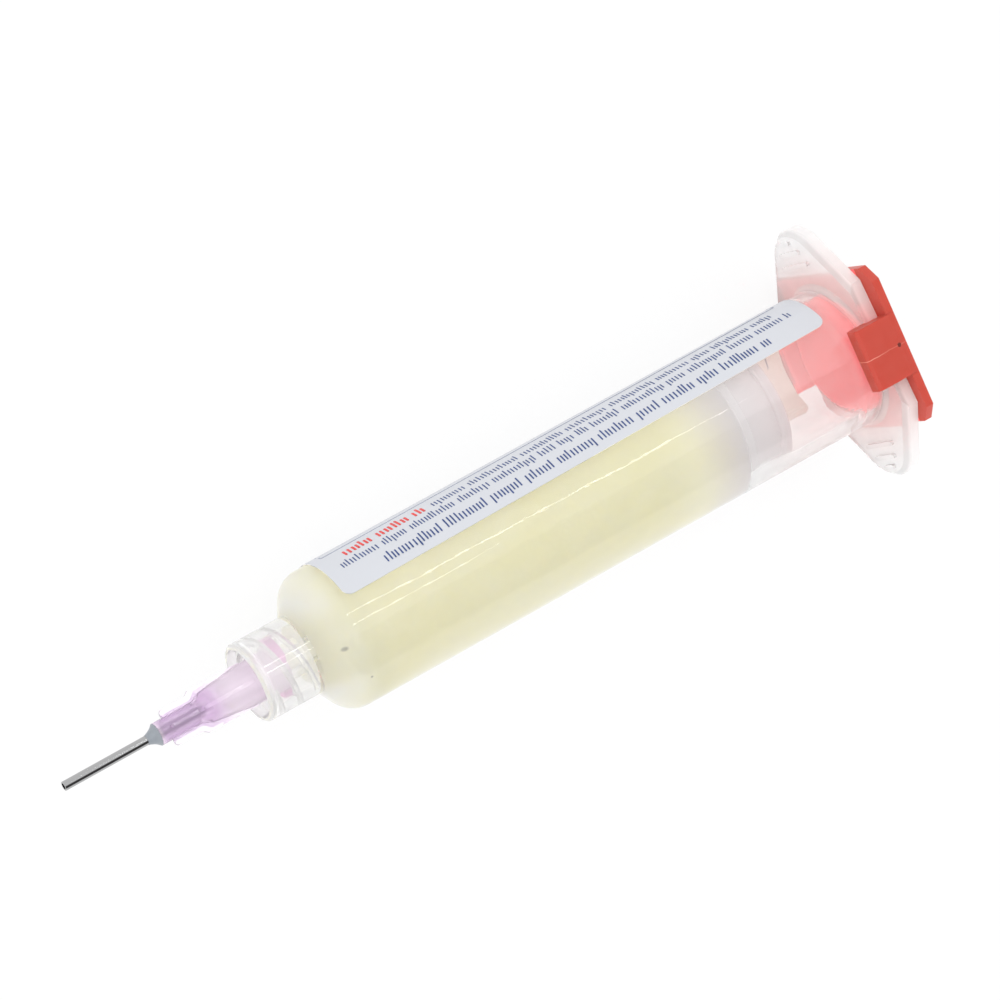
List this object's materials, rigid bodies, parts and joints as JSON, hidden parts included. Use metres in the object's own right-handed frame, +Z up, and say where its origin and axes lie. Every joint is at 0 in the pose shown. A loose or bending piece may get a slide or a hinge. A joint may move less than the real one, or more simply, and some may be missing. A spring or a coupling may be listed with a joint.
{
  "type": "flux syringe",
  "caption": "Clear dispensing barrel of pale flux with a finned Luer-lock needle, a wiper piston, a wrapped label and a clipped cap over the finger flange.",
  "frame": {"origin": "on the surface that the syringe lies on, under the middle of its length and between its finger wings", "axes": "+X from the needle's tip towards the end cap, +Y towards the wing that the label is on, +Z up. The barrel's axis rises towards the cap by 2.27 degrees, as it lies."},
  "size_m": [0.1196, 0.0348, 0.0247],
  "materials": {
    "barrel_clear": "glossy, near clear, moulded",
    "flux_paste": "smooth pale yellow paste",
    "piston_plastic": "milky, moulded",
    "cap_plastic": "satin orange-red, moulded",
    "label_paper": "smooth coated white",
    "hub_clear": "glossy clear pink, moulded",
    "needle_steel": "drawn, bright",
    "adhesive": "cured grey-blue adhesive"
  },
  "bodies": {
    "barrel": {"barrel": "barrel_clear", "flux": "flux_paste", "label": "label_paper"},
    "piston": {"wiper_piston": "piston_plastic"},
    "cap": {"end_cap": "cap_plastic"},
    "needle": {"needle_tube": "needle_steel", "needle_adhesive": "adhesive"},
    "hub": {"needle_hub": "hub_clear"}
  },
  "joints": [
    {"name": "piston_push", "type": "slide", "parent": "barrel", "child": "piston", "axis": [-0.9992, 0, -0.0395], "range_m": [0, 0.056], "deforming": ["flux"]},
    {"name": "cap_pull", "type": "slide", "parent": "barrel", "child": "cap", "axis": [0.9992, 0, 0.0395], "range_m": [0, 0.025], "deforming": ["end_cap"]},
    {"name": "needle_back_off", "type": "slide", "parent": "barrel", "child": "needle", "axis": [-0.9992, 0, -0.0395], "range_m": [0, 0.00508]},
    {"name": "hub_unscrew", "type": "hinge", "parent": "needle", "child": "hub", "pos_m": [-0.03399, 0, 0.00881], "axis": [-0.9992, 0, -0.0395], "range_deg": [0, 360]}
  ],
  "couplings": [
    {"joint": "hub_unscrew", "follows": "needle_back_off", "rad_per_m": 1236.8}
  ]
}
